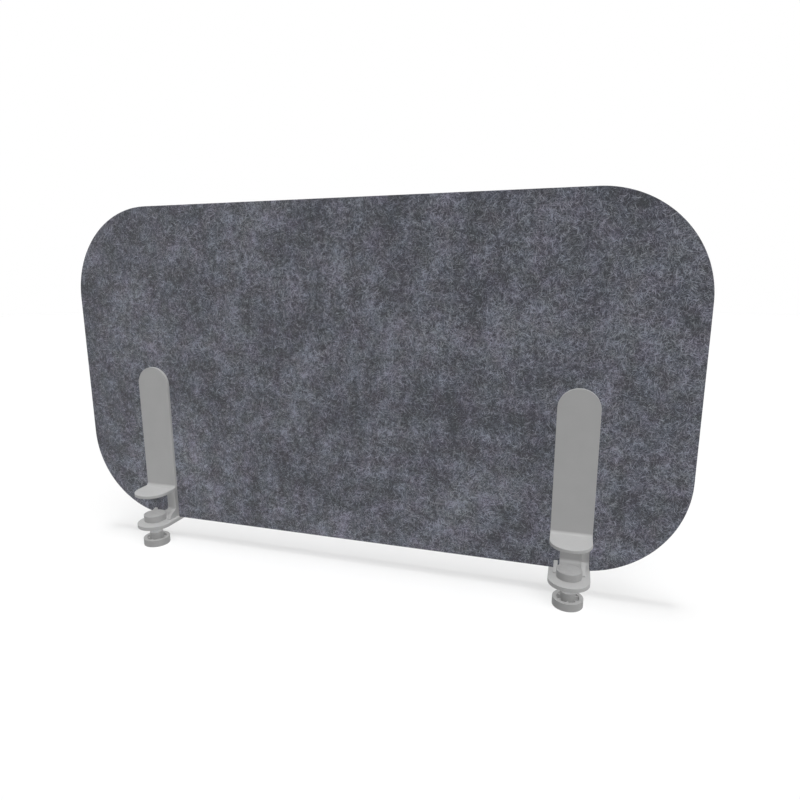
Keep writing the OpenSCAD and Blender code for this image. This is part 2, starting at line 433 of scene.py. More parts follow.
class Shader(Wiring):
    """A material being wired from the piece's own coordinates to its surface."""

    def __init__(self, name: str) -> None:
        """Start a material with an empty surface.

        Args:
            name: The material's name.
        """
        self.material = bpy.data.materials.new(name)
        self.material.use_nodes = True
        super().__init__(self.material.node_tree)
        self.surface = self.tree.nodes["Principled BSDF"]
        self.place = self.add("ShaderNodeTexCoord").outputs["Object"]

    def set(self, **values: object) -> None:
        """Set the surface's own sockets; an underscore stands for a space."""
        for name, value in values.items():
            self.fill(self.surface.inputs[name.replace("_", " ")], value)

    def noise(
        self, size: float, detail: float = 2.0, rough: float = 0.5, at: Socket | None = None
    ) -> Socket:
        """Cloudy noise.

        Args:
            size: The width of one cloud.
            detail: How many finer layers it has.
            rough: How strong they are.
            at: Where it is read, if not at the piece's own coordinates.

        Returns:
            A value about 0.5.
        """
        inputs = {"Vector": at or self.place, "Scale": 1 / size, "Detail": detail, "Roughness": rough}
        return self.add("ShaderNodeTexNoise", inputs).outputs["Fac"]

    def bent(self, size: float, reach: float) -> Socket:
        """The piece's own coordinates, bent in waves.

        Args:
            size: The width of one wave.
            reach: How far it bends them at most.

        Returns:
            The bent coordinates.
        """
        inputs = {"Vector": self.place, "Scale": 1 / size, "Detail": 1.0}
        waves = self.add("ShaderNodeTexNoise", inputs).outputs["Color"]
        inputs = {0: waves, 1: (reach,) * 3, 2: self.place}
        return self.add("ShaderNodeVectorMath", inputs, operation="MULTIPLY_ADD").outputs[0]

    def strands(self, length: float, width: float, turn: float, at: Socket) -> Socket:
        """Fine streaks that lie one way on an upright surface.

        Args:
            length: The length of a streak.
            width: Its width.
            turn: Its slope from level, in radians.
            at: Where they are read.

        Returns:
            A value about 0.5.
        """
        inputs = {"Vector": at, "Location": (turn, 0, 0), "Rotation": (0, turn, 0)}
        turned = self.add("ShaderNodeMapping", inputs, vector_type="POINT")
        inputs = {"Vector": turned.outputs[0], "Scale": (1 / length, 1 / width, 1 / width)}
        drawn = self.add("ShaderNodeMapping", inputs, vector_type="POINT")
        return self.noise(1, 1, at=drawn.outputs[0])

    def fibres(self, slopes: Sequence[float], length: float, width: float, at: Socket) -> Socket:
        """Pale fibres that cross each other, the palest one on top.

        Args:
            slopes: Their slopes from level, in degrees.
            length: The length of a fibre.
            width: Its width.
            at: Where they are read.

        Returns:
            A value about 0.5.
        """
        shown: object = 0.0
        for slope in slopes:
            shown = self.math("MAXIMUM", shown, self.strands(length, width, math.radians(slope), at))
        return self.math("SUBTRACT", shown, FIBRE_LIFT)

    def tinted(self, colour: Socket, size: float, tints: tuple[tuple, tuple]) -> Socket:
        """Multiply a colour by cloudy tints.

        Args:
            colour: The colour.
            size: The width of one cloud.
            tints: The tints of its thin and of its thick places.

        Returns:
            The tinted colour.
        """
        stops = dict(zip(TINT_PLACES, (tints[0], WHITE, tints[1])))
        # A mix node of this kind takes its two colours at its inputs 6 and 7.
        inputs = {0: 1.0, 6: colour, 7: self.ramp(self.noise(size), stops)}
        return self.add("ShaderNodeMix", inputs, data_type="RGBA", blend_type="MULTIPLY").outputs[2]

    def blend(self, weights: Sequence[tuple[Socket, float]]) -> Socket:
        """Add values about 0.5.

        Args:
            weights: Each value with its weight.

        Returns:
            Their sum, which is again about 0.5.
        """
        total: object = 0.5
        for value, weight in weights:
            inputs = {0: value, 1: weight, 2: -0.5 * weight}
            lifted = self.add("ShaderNodeMath", inputs, operation="MULTIPLY_ADD")
            total = self.math("ADD", total, lifted.outputs[0])
        return total

    def layered(self, layers: Sequence[tuple[float, float, float]]) -> Socket:
        """Blend noises, each given by its size, its detail and its weight."""
        return self.blend([(self.noise(size, detail), weight) for size, detail, weight in layers])

    def ramp(self, value: Socket, stops: dict[float, tuple]) -> Socket:
        """Colour a value.

        Args:
            value: The value.
            stops: The colours by their places between 0 and 1.

        Returns:
            The colour.
        """
        node = self.add("ShaderNodeValToRGB", {"Fac": value})
        elements = node.color_ramp.elements
        places = sorted(stops)
        for index, place in enumerate(places):
            element = elements[index] if index < 2 else elements.new(place)
            element.position = place
            element.color = (*stops[place], 1)
        return node.outputs["Color"]

    def span(self, value: Socket, low: float, high: float) -> Socket:
        """Stretch a noise's values to low..high."""
        inputs = {"From Min": LOW_TONE, "From Max": HIGH_TONE, "To Min": low, "To Max": high}
        return self.add("ShaderNodeMapRange", {"Value": value, **inputs}).outputs["Result"]

    def paint(self, colour: tuple, shares: tuple[float, float], tone: Socket) -> None:
        """Paint the surface in one colour, varied by a tone.

        Args:
            colour: The colour.
            shares: Its darkest and its palest shade, as shares of it.
            tone: A value about 0.5.
        """
        low, high = (tuple(share * part for part in colour) for share in shares)
        self.set(Base_Color=self.ramp(tone, {LOW_TONE: low, HIGH_TONE: high}))

    def relief(self, height: Socket, depth: float, strength: float = 1.0) -> None:
        """Give the surface a relief of that depth."""
        bump = self.add("ShaderNodeBump", {"Height": height, "Distance": depth, "Strength": strength})
        self.set(Normal=bump.outputs[0])


def grey(level: float, tint: float = 0.0) -> tuple[float, float, float]:
    """A grey of that level, a little blue where tint is above zero."""
    return (level * (1 - tint), level, level * (1 + 2 * tint))


@dataclass(frozen=True)
class FeltFinish:
    """Needled felt: pale curly fibres that cross over soft grey clouds."""

    dark: tuple = (0.0555, 0.0577, 0.0688)
    middle: tuple = (0.12, 0.125, 0.151)
    pale: tuple = (0.304, 0.317, 0.364)
    places: tuple = (0.1, 0.5, 0.95)
    clouds: tuple = ((9 * MM, 0.74), (26 * MM, 0.8), (110 * MM, 0.95))
    cloud_detail: float = 2
    cloud_rough: float = 0.6
    slopes: tuple = (5, 35, 65, 95, 125, 155)
    fibre_len: float = 11 * MM
    fibre_w: float = 0.95 * MM
    fibre_weight: float = 4.2
    bend_size: float = 18 * MM
    bend_reach: float = 6 * MM
    warm_size: float = 34 * MM
    warm_tints: tuple = ((0.966, 1.0, 0.989), (1.029, 0.978, 1.008))
    blue_size: float = 26 * MM
    blue_tints: tuple = ((1.008, 1.008, 0.957), (0.992, 0.992, 1.036))
    rough: float = 0.95
    gloss: float = 0.2
    fuzz: float = 0.15
    fuzz_rough: float = 0.6
    pile: float = 0.4 * MM
    pile_share: float = 0.6

    def make(self) -> bpy.types.Material:
        """Wire the felt.

        Returns:
            The material.
        """
        shader = Shader("needled_felt")
        at = shader.bent(self.bend_size, self.bend_reach)
        layers = [
            (shader.noise(size, self.cloud_detail, self.cloud_rough), weight)
            for size, weight in self.clouds
        ]
        layers.append((shader.fibres(self.slopes, self.fibre_len, self.fibre_w, at), self.fibre_weight))
        tone = shader.blend(layers)
        colour = shader.ramp(tone, dict(zip(self.places, (self.dark, self.middle, self.pale))))
        colour = shader.tinted(colour, self.warm_size, self.warm_tints)
        colour = shader.tinted(colour, self.blue_size, self.blue_tints)
        shader.set(Base_Color=colour, Roughness=self.rough, Specular_IOR_Level=self.gloss)
        shader.set(Sheen_Weight=self.fuzz, Sheen_Roughness=self.fuzz_rough)
        shader.relief(tone, self.pile, self.pile_share)
        return shader.material


@dataclass(frozen=True)
class PowderCoat:
    """Light grey satin powder coat with a faint orange peel."""

    colour: tuple = grey(0.366)
    shares: tuple = (0.96, 1.04)
    tones: tuple = ((24 * MM, 3, 0.5), (0.7 * MM, 2, 0.5))
    rough: tuple = (0.46, 0.58)
    rough_tones: tuple = (3 * MM, 3)
    peel: tuple = ((1.6 * MM, 1, 1.0), (0.4 * MM, 1, 0.3))
    peel_depth: float = 0.02 * MM

    def make(self) -> bpy.types.Material:
        """Wire the coat.

        Returns:
            The material.
        """
        shader = Shader("powder_coat")
        shader.paint(self.colour, self.shares, shader.layered(self.tones))
        shader.set(Roughness=shader.span(shader.noise(*self.rough_tones), *self.rough))
        shader.relief(shader.layered(self.peel), self.peel_depth)
        return shader.material


@dataclass(frozen=True)
class MouldedFinish:
    """Matt moulded plastic with a fine spark-eroded grain."""

    colour: tuple = grey(0.317)
    shares: tuple = (0.95, 1.05)
    tones: tuple = ((9 * MM, 3, 0.6), (0.35 * MM, 1, 0.5))
    rough: tuple = (0.52, 0.68)
    rough_tones: tuple = (2 * MM, 3)
    grain: tuple = (0.35 * MM, 2)
    grain_depth: float = 0.03 * MM
    grain_share: float = 0.8

    def make(self) -> bpy.types.Material:
        """Wire the plastic.

        Returns:
            The material.
        """
        shader = Shader("moulded_plastic")
        shader.paint(self.colour, self.shares, shader.layered(self.tones))
        shader.set(Roughness=shader.span(shader.noise(*self.rough_tones), *self.rough))
        shader.relief(shader.noise(*self.grain), self.grain_depth, self.grain_share)
        return shader.material


@dataclass(frozen=True)
class ZincFinish:
    """Zinc-plated turned steel with fine marks round its axis."""

    colour: tuple = grey(0.42, 0.01)
    shares: tuple = (0.85, 1.12)
    tones: tuple = ((6 * MM, 3, 0.9), (0.5 * MM, 2, 0.4))
    metallic: float = 0.85
    rough: tuple = (0.34, 0.5)
    rough_tones: tuple = (1.5 * MM, 3)
    mark_size: float = 1.2 * MM
    mark_scale: tuple = (1, 1, 14)
    mark_depth: float = 0.01 * MM
    mark_share: float = 0.6

    def make(self) -> bpy.types.Material:
        """Wire the plating.

        Returns:
            The material.
        """
        shader = Shader("zinc_plate")
        shader.paint(self.colour, self.shares, shader.layered(self.tones))
        shader.set(Metallic=self.metallic)
        shader.set(Roughness=shader.span(shader.noise(*self.rough_tones), *self.rough))
        inputs = {"Vector": shader.place, "Scale": self.mark_scale}
        drawn = shader.add("ShaderNodeMapping", inputs, vector_type="POINT")
        marks = shader.noise(self.mark_size, at=drawn.outputs[0])
        shader.relief(marks, self.mark_depth, self.mark_share)
        return shader.material


@dataclass(frozen=True)
class RubberFinish:
    """Matt rubber with a fine open grain."""

    name: str
    colour: tuple
    shares: tuple = (0.9, 1.1)
    tones: tuple = ((7 * MM, 3, 0.6), (0.5 * MM, 2, 0.6))
    rough: tuple = (0.72, 0.88)
    gloss: float = 0.3
    grain: tuple = (0.5 * MM, 2)
    grain_depth: float = 0.05 * MM
    grain_share: float = 0.8

    def make(self) -> bpy.types.Material:
        """Wire the rubber.

        Returns:
            The material.
        """
        shader = Shader(self.name)
        shader.paint(self.colour, self.shares, shader.layered(self.tones))
        grain = shader.noise(*self.grain)
        shader.set(Roughness=shader.span(grain, *self.rough), Specular_IOR_Level=self.gloss)
        shader.relief(grain, self.grain_depth, self.grain_share)
        return shader.material


class Wardrobe:
    """The object's finishes, each made once."""

    def __init__(self) -> None:
        """Make every finish."""
        self.materials = {
            Slot.FELT: FeltFinish().make(),
            Slot.STEEL: PowderCoat().make(),
            Slot.MOULDED: MouldedFinish().make(),
            Slot.ZINC: ZincFinish().make(),
            Slot.LINER: RubberFinish("liner_rubber", grey(0.16)).make(),
            Slot.FACING: RubberFinish("facing_rubber", grey(0.343)).make(),
        }

    def dress(self, piece: Piece, slot: Slot) -> None:
        """Give a piece its one finish."""
        piece.data.materials.clear()
        piece.data.materials.append(self.materials[slot])


def deliver(piece: Piece, node: str, body: str, slot: Slot, wardrobe: Wardrobe) -> None:
    """Finish a piece: smooth it, dress it, name it and put it on its body.

    Args:
        piece: The mesh object, with its place in its mesh.
        node: The solid that it stands for.
        body: The body that it rides on.
        slot: Its finish.
        wardrobe: The finishes.
    """
    activate(piece)
    bpy.ops.object.shade_smooth_by_angle(angle=SMOOTH_ANGLE)
    apply_modifier(piece, "WEIGHTED_NORMAL", keep_sharp=True)
    wardrobe.dress(piece, slot)
    piece.name = f"fine_{node}"
    piece.data.name = piece.name
    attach(piece, body)
    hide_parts(node)
    log.info("%s: %d faces on %s", piece.name, len(piece.data.polygons), body)


# Panel


@dataclass
class Panel:
    """The two laminated felt boards and the screws from behind."""

    corner_r: float = 148 * MM
    corner_steps: int = 48
    notch_w: float = 42.4 * MM
    notch_shift: float = 7 * MM
    notch_rise: float = 45 * MM
    edge_softness: float = 0.8 * MM
    bend_r: float = 5 * MM
    felt_gap: float = 0.3 * MM
    over: float = 1 * MM
    screw_r: float = 2.1 * MM
    tip_r: float = 1.26 * MM
    head_r: float = 4.75 * MM
    head_h: float = 3 * MM
    head_side: float = 1.05 * MM
    head_top_r: float = 2.6125 * MM
    head_rounds: tuple = (0.24 * MM, 0.96 * MM, 0.72 * MM)
    socket_r: float = 1.9 * MM
    socket_depth: float = 2 * MM
    screw_n: int = 3
    screw_pitch: float = 55 * MM
    screw_rise: float = 82 * MM

    def board(self, node: str) -> Piece:
        """Make one board from its box, with round corners and two notches.

        Args:
            node: The board's solid.

        Returns:
            The board.
        """
        low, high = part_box(node)
        piece = block(low, high)
        with editing(piece):
            pick(piece, Pick.EDGES, lambda e: abs(e.verts[0].co.y - e.verts[1].co.y) > NEAR)
            bpy.ops.mesh.bevel(
                offset=self.corner_r, offset_type="OFFSET", segments=self.corner_steps,
                profile=0.5, affect="EDGES",
            )
        for side in SIDES:
            clamp_low, clamp_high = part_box(f"front_blade_{side}")
            notch_x = (clamp_low.x + clamp_high.x) / 2 + self.notch_shift
            tool = block(
                Vector((notch_x - self.notch_w / 2, low.y - self.over, low.z - self.over)),
                Vector((notch_x + self.notch_w / 2, high.y + self.over, self.notch_rise)),
            )
            combine(piece, tool, Cut.REMOVE)
            if node == "felt_rear_board":
                combine(piece, self.bend_relief(clamp_low.x, clamp_high.x, low.z, high.y), Cut.REMOVE)
        soften(piece, self.edge_softness)
        return piece

    def bend_relief(self, low_x: float, high_x: float, foot_z: float, back_y: float) -> Piece:
        """Make the tool that rounds the felt to the inside of the lower jaw's bend.

        Args:
            low_x: The jaw's left edge.
            high_x: Its right edge.
            foot_z: The panel's foot.
            back_y: The panel's back.

        Returns:
            A square bar without the round of the bend.
        """
        tool = block(
            Vector((low_x - self.felt_gap, back_y - self.bend_r, foot_z - self.over)),
            Vector((high_x + self.felt_gap, back_y + self.over, foot_z + self.bend_r)),
        )
        middle = Vector(((low_x + high_x) / 2, back_y - self.bend_r, foot_z + self.bend_r))
        length = high_x - low_x + 2 * self.over
        kept = rod(middle, self.bend_r - self.felt_gap, length, TURN_STEPS, ALONG_X)
        combine(tool, kept, Cut.REMOVE)
        return tool

    def screw(self, length: float) -> Piece:
        """Make one pan-head screw that points forward.

        Args:
            length: The length of its shank.

        Returns:
            The screw, its head starting at the origin.
        """
        under, side, top = self.head_rounds
        piece = turn_piece(
            Vector((0, 0, 0)),
            [
                Corner(0, -length), Corner(self.tip_r, -length + self.screw_r),
                Corner(self.screw_r, -length + 2 * self.screw_r), Corner(self.screw_r, 0),
                Corner(self.head_r, 0, under), Corner(self.head_r, self.head_side, side),
                Corner(self.head_top_r, self.head_h, top), Corner(0, self.head_h),
            ],
            closed=False,
        )
        spot = Vector((0, 0, self.head_h))
        tool = rod(spot, self.socket_r, 2 * self.socket_depth, SOCKET_SIDES)
        combine(piece, tool, Cut.REMOVE)
        piece.rotation_euler = (-math.pi / 2, 0, 0)
        set_place(piece)
        return piece

    def screws(self) -> Piece:
        """Make all the panel's screws as copies of one.

        Returns:
            The screws as one piece.
        """
        low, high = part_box("panel_screws")
        head_y = high.y - self.head_h
        model = self.screw(head_y - low.y)
        made = []
        for side in SIDES:
            clamp_low, clamp_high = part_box(f"front_blade_{side}")
            axis_x = (clamp_low.x + clamp_high.x) / 2
            for index in range(self.screw_n):
                screw = copied(model)
                screw.location = (axis_x, head_y, self.screw_rise + index * self.screw_pitch)
                set_place(screw)
                made.append(screw)
        bpy.data.objects.remove(model)
        return join(made)

    def build(self, wardrobe: Wardrobe) -> None:
        """Make and dress the panel.

        Args:
            wardrobe: The finishes.
        """
        for node in BOARDS:
            deliver(self.board(node), node, "screen", Slot.FELT, wardrobe)
        deliver(self.screws(), "panel_screws", "screen", Slot.ZINC, wardrobe)


# Steelwork


@dataclass
class FoldedBar:
    """A flat bar with two round ends, folded up once by a right angle."""

    middle_x: float
    width: float
    nose_y: float
    plate_z: float
    wall_y: float
    top_z: float
    thickness: float
    fold_r: float
    fold_steps: int = 10

    def build(self) -> Piece:
        """Make the bar: its plate's top is at plate_z and its wall's front at wall_y.

        Returns:
            The bar, with its place in its mesh.
        """
        fold_y = self.wall_y - self.fold_r
        fold_z = self.plate_z + self.fold_r
        place = Vector((self.middle_x, (self.nose_y + fold_y) / 2, self.plate_z))
        bpy.ops.mesh.primitive_plane_add(size=1, location=place)
        bar = bpy.context.object
        bar.scale = (self.width, fold_y - self.nose_y, 1)
        set_place(bar)
        with editing(bar):
            pick(bar, Pick.VERTS, lambda v: v.co.y < self.nose_y + NEAR)
            round_corners(self.width / 2)
            pick(bar, Pick.EDGES, lambda e: min(v.co.y for v in e.verts) > fold_y - NEAR)
            bpy.ops.mesh.spin(
                steps=self.fold_steps, angle=-math.pi / 2, center=(self.middle_x, fold_y, fold_z),
                axis=(1, 0, 0),
            )
            pick(bar, Pick.EDGES, lambda e: min(v.co.z for v in e.verts) > fold_z - NEAR)
            rise = {"value": (0, 0, self.top_z - fold_z), "orient_type": "GLOBAL"}
            bpy.ops.mesh.extrude_region_move(TRANSFORM_OT_translate=rise)
            pick(bar, Pick.VERTS, lambda v: v.co.z > self.top_z - NEAR)
            round_corners(self.width / 2)
            clean_skin()
        plate = min(bar.data.polygons, key=lambda face: face.center.z)
        apply_modifier(
            bar, "SOLIDIFY", thickness=self.thickness, offset=-1 if plate.normal.z > 0 else 1,
            use_even_offset=True, use_quality_normals=True,
        )
        with editing(bar):
            clean_skin()
        return bar


@dataclass
class Steelwork:
    """The powder-coated blades, jaws, web and ears of one clamp."""

    side: str
    blade_t: float = 5 * MM
    jaw_t: float = 6 * MM
    bend_r: float = 5 * MM
    bend_steps: int = 8
    web_t: float = 6 * MM
    ear_reach: float = 18 * MM
    ear_h: float = 14.2 * MM
    locating_h: float = 12.2 * MM
    ear_toe: float = 2 * MM
    ear_bulge: float = 1.6 * MM
    screw_r: float = 2.15 * MM
    edge: float = 0.6 * MM
    over: float = 1 * MM

    def folded(self, low: Vector, high: Vector, thickness: float) -> Piece:
        """Make a folded bar from its box.

        Args:
            low: The box's low corner.
            high: Its high corner.
            thickness: The plate's thickness.

        Returns:
            The bar: its nose at the low front, its round top at the high back.
        """
        return FoldedBar(
            (low.x + high.x) / 2, high.x - low.x, low.y, low.z + thickness, high.y - thickness,
            high.z, thickness, self.bend_r,
        ).build()

    def front_blade(self) -> Piece:
        """Make the front blade with the upper jaw.

        Returns:
            The front blade.
        """
        low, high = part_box(f"front_blade_{self.side}")
        bar = self.folded(low, high, self.blade_t)
        soften(bar, self.edge)
        return bar

    def lower_jaw(self, panel: Panel) -> Piece:
        """Make the lower jaw with the rear blade, drilled for its bush and screws.

        Args:
            panel: The panel, which says where the screws are.

        Returns:
            The lower jaw.
        """
        low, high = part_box(f"lower_jaw_{self.side}")
        bar = self.folded(low, high, self.jaw_t)
        bush_low, bush_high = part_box(f"thread_bush_{self.side}")
        bush = (bush_low + bush_high) / 2
        drill = rod(Vector((bush.x, bush.y, low.z)), ClampScrew.bush_r, THROUGH * self.jaw_t, TURN_STEPS)
        combine(bar, drill, Cut.REMOVE)
        for index in range(panel.screw_n):
            spot = Vector((bush.x, high.y, panel.screw_rise + index * panel.screw_pitch))
            drill = rod(spot, self.screw_r, THROUGH * self.jaw_t, HOLE_STEPS, ALONG_Y)
            combine(bar, drill, Cut.REMOVE)
        soften(bar, self.edge)
        return bar

    def ear(self, low_x: float, foot_z: float, height: float) -> Piece:
        """Make one ear: the part of a block that lies inside a large disc.

        Args:
            low_x: Its left face.
            foot_z: The plate that it stands on.
            height: Its height at the panel.

        Returns:
            The ear, reaching back a little past the panel's front.
        """
        ear = block(
            Vector((low_x, -self.ear_reach, foot_z)),
            Vector((low_x + self.web_t, self.over, foot_z + height)),
        )
        rise = height - self.ear_toe
        chord = math.hypot(self.ear_reach, rise)
        radius = chord**2 / (8 * self.ear_bulge) + self.ear_bulge / 2
        back = (radius - self.ear_bulge) / chord
        centre = Vector((
            low_x + self.web_t / 2,
            -self.ear_reach / 2 + back * rise,
            foot_z + self.ear_toe + rise / 2 - back * self.ear_reach,
        ))
        disc = rod(centre, radius, THROUGH * self.web_t, DISC_STEPS, ALONG_X)
        combine(ear, disc, Cut.KEEP_SHARED)
        return ear

    def near_ear(self) -> Piece:
        """Make the locating ear that stands in front of the felt.

        Returns:
            The ear, cut off at the panel's front.
        """
        low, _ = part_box(f"ear_{self.side}")
        ear = self.ear(low.x, low.z, self.locating_h)
        with editing(ear):
            bpy.ops.mesh.select_all(action="SELECT")
            bpy.ops.mesh.bisect(plane_co=(0, 0, 0), plane_no=(0, 1, 0), use_fill=True, clear_outer=True)
            clean_skin()
        soften(ear, self.edge)
        return ear

    def web(self) -> Piece:
        """Make the web with its ear.

        Returns:
            The web.
        """
        low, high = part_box(f"web_{self.side}")
        plate = block(Vector((low.x, 0, low.z)), high)
        with editing(plate):
            pick(plate, Pick.EDGES, lambda e: all(
                v.co.y > high.y - NEAR and v.co.z < low.z + NEAR for v in e.verts))
            bpy.ops.mesh.bevel(
                offset=self.bend_r, offset_type="OFFSET", segments=self.bend_steps, profile=0.5,
                affect="EDGES",
            )
        combine(plate, self.ear(low.x, low.z, self.ear_h), Cut.ADD)
        soften(plate, self.edge)
        return plate

    def liner(self) -> Piece:
        """Make the soft liner under the upper jaw.

        Returns:
            The liner.
        """
        low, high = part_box(f"jaw_liner_{self.side}")
        piece = block(low, high)
        with editing(piece):
            pick(piece, Pick.EDGES, lambda e: all(v.co.y < low.y + NEAR for v in e.verts)
                 and abs(e.verts[0].co.z - e.verts[1].co.z) > NEAR)
            bpy.ops.mesh.bevel(
                offset=(high.x - low.x) / 2, offset_type="OFFSET", segments=ARC_STEPS, profile=0.5,
                affect="EDGES",
            )
            clean_skin()
        soften(piece, self.edge / 2)
        return piece

    def build(self, panel: Panel, wardrobe: Wardrobe) -> None:
        """Make and dress the steelwork and its liner.

        Args:
            panel: The panel, whose screws pass through the rear blade.
            wardrobe: The finishes.
        """
        made = {
            "front_blade": (self.front_blade(), Slot.STEEL),
            "lower_jaw": (self.lower_jaw(panel), Slot.STEEL),
            "ear": (self.near_ear(), Slot.STEEL),
            "web": (self.web(), Slot.STEEL),
            "jaw_liner": (self.liner(), Slot.LINER),
        }
        for part, (piece, slot) in made.items():
            deliver(piece, f"{part}_{self.side}", "screen", slot, wardrobe)


# Clamp screw


@dataclass
class ClampScrew:
    """The threaded bush, spindle, knob and pad of one clamp."""

    side: str
    bush_r: float = 11 * MM
    bore_r: float = 8.05 * MM
    flange_t: float = 1.2 * MM
    thread_pitch: float = 4 * MM
    crest_r: float = 7.98 * MM
    root_r: float = 6.2 * MM
    flank: float = 0.6 * MM
    nose_r: float = 5 * MM
    stub_r: float = 6 * MM
    stub_len: float = 14 * MM
    fix_r: float = 3 * MM
    fix_head_r: float = 5.7 * MM
    fix_sink: float = 0.6 * MM
    socket_r: float = 2.3 * MM
    socket_depth: float = 2 * MM
    rim_w: float = 5.65 * MM
    rim_h: float = 12.1 * MM
    hub_r: float = 11 * MM
    knob_floor: float = 3 * MM
    rib_n: int = 6
    rib_t: float = 2.4 * MM
    rib_drop: float = 1.5 * MM
    facing_r: float = 15.5 * MM
    facing_t: float = 2 * MM
    pocket_r: float = 10 * MM
    pad_floor: float = 5 * MM
    bore_play: float = 0.05 * MM
    shoulder_gap: float = 0.1 * MM
    thread_start: float = 1.63
    spare_turns: int = 3
    pad_edge: float = 0.8 * MM
    edge: float = 0.5 * MM
    small_edge: float = 0.4 * MM
    fine_edge: float = 0.3 * MM
    facing_edge: float = 0.2 * MM
    over: float = 1 * MM

    def axis(self) -> Vector:
        """A point on the screw's axis, at desk level."""
        low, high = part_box(f"knob_{self.side}")
        return Vector(((low.x + high.x) / 2, (low.y + high.y) / 2, 0))

    def bush(self) -> Piece:
        """Make the flanged bush.

        Returns:
            The bush.
        """
        low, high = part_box(f"thread_bush_{self.side}")
        flange_r = (high.x - low.x) / 2
        return turn_piece(self.axis(), [
            Corner(self.bore_r, low.z, self.small_edge), Corner(flange_r, low.z, self.small_edge),
            Corner(flange_r, low.z + self.flange_t, self.fine_edge),
            Corner(self.bush_r, low.z + self.flange_t),
            Corner(self.bush_r, high.z, self.small_edge), Corner(self.bore_r, high.z, self.small_edge),
        ])

    def thread(self, foot_z: float, top_z: float) -> Piece:
        """Wind the trapezoidal thread and cut it off square.

        Args:
            foot_z: The thread's lower end.
            top_z: Its upper end.

        Returns:
            The threaded stretch, closed at both ends.
        """
        turns = math.ceil((top_z - foot_z) / self.thread_pitch) + self.spare_turns
        start = foot_z - self.thread_start * self.thread_pitch
        flat = (self.thread_pitch - 2 * self.flank) / 2
        heights = (0, flat, flat + self.flank, 2 * flat + self.flank, self.thread_pitch)
        radii = (self.root_r, self.root_r, self.crest_r, self.crest_r, self.root_r)
        corners = [Corner(r, start + z) for r, z in zip(radii, heights)]
        piece = draw_profile(self.axis(), corners, closed=False)
        apply_modifier(
            piece, "SCREW", axis="Z", angle=math.tau, screw_offset=self.thread_pitch,
            iterations=turns, steps=THREAD_STEPS, render_steps=THREAD_STEPS,
            use_merge_vertices=False,
        )
        with editing(piece):
            bpy.ops.mesh.select_all(action="SELECT")
            bpy.ops.mesh.remove_doubles(threshold=NEAR)
            for height, up in ((foot_z, -1), (top_z, 1)):
                bpy.ops.mesh.select_all(action="SELECT")
                bpy.ops.mesh.bisect(
                    plane_co=(0, 0, height), plane_no=(0, 0, up), use_fill=True, clear_outer=True
                )
            clean_skin()
        set_place(piece)
        return piece

    def spindle(self) -> Piece:
        """Make the spindle: stub, thread and nose in one.

        Returns:
            The spindle.
        """
        low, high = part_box(f"spindle_{self.side}")
        _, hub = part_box(f"knob_{self.side}")
        pad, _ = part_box(f"pad_{self.side}")
        shoulder = pad.z - self.shoulder_gap
        stub = turn_piece(self.axis(), [
            Corner(self.fix_r, low.z), Corner(self.stub_r, low.z, self.edge),
            Corner(self.stub_r, hub.z), Corner(self.fix_r, hub.z),
        ])
        nose = turn_piece(self.axis(), [
            Corner(0, shoulder - self.over), Corner(self.nose_r, shoulder - self.over),
            Corner(self.nose_r, high.z, self.edge), Corner(0, high.z),
        ], closed=False)
        return join([self.thread(hub.z, shoulder), stub, nose])

    def knob(self) -> Piece:
        """Make the moulded knob: rim, floor, hub and ribs.

        Returns:
            The knob.
        """
        low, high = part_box(f"knob_{self.side}")
        outer = (high.x - low.x) / 2
        inner = outer - self.rim_w
        foot = low.z
        sink = foot + self.fix_sink
        knob = turn_piece(self.axis(), [
            Corner(self.fix_head_r, foot), Corner(outer, foot, self.edge),
            Corner(outer, foot + self.rim_h, self.edge), Corner(inner, foot + self.rim_h, self.edge),
            Corner(inner, foot + self.knob_floor, self.edge),
            Corner(self.hub_r, foot + self.knob_floor, self.edge),
            Corner(self.hub_r, high.z, self.edge), Corner(self.stub_r, high.z, self.small_edge),
            Corner(self.stub_r, high.z - self.stub_len), Corner(self.fix_r, high.z - self.stub_len),
            Corner(self.fix_r, sink + self.fix_head_r - self.fix_r), Corner(self.fix_head_r, sink),
        ])
        model = block(
            Vector((self.hub_r - self.over, -self.rib_t / 2, foot + self.knob_floor - self.over)),
            Vector((inner + self.over, self.rib_t / 2, foot + self.rim_h - self.rib_drop)),
        )
        soften(model, self.small_edge)
        for index in range(self.rib_n):
            rib = copied(model)
            rib.rotation_euler = (0, 0, math.tau * (index + 0.5) / self.rib_n)
            rib.location = self.axis()
            set_place(rib)
            combine(knob, rib, Cut.ADD)
        bpy.data.objects.remove(model)
        return knob

    def knob_screw(self) -> Piece:
        """Make the countersunk screw in the knob's underside.

        Returns:
            The screw.
        """
        low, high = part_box(f"knob_screw_{self.side}")
        screw = turn_piece(self.axis(), [
            Corner(0, low.z), Corner(self.fix_head_r, low.z),
            Corner(self.fix_r, low.z + self.fix_head_r - self.fix_r),
            Corner(self.fix_r, high.z, self.edge), Corner(0, high.z),
        ], closed=False)
        spot = self.axis() + Vector((0, 0, low.z))
        tool = rod(spot, self.socket_r, 2 * self.socket_depth, SOCKET_SIDES)
        combine(screw, tool, Cut.REMOVE)
        return screw

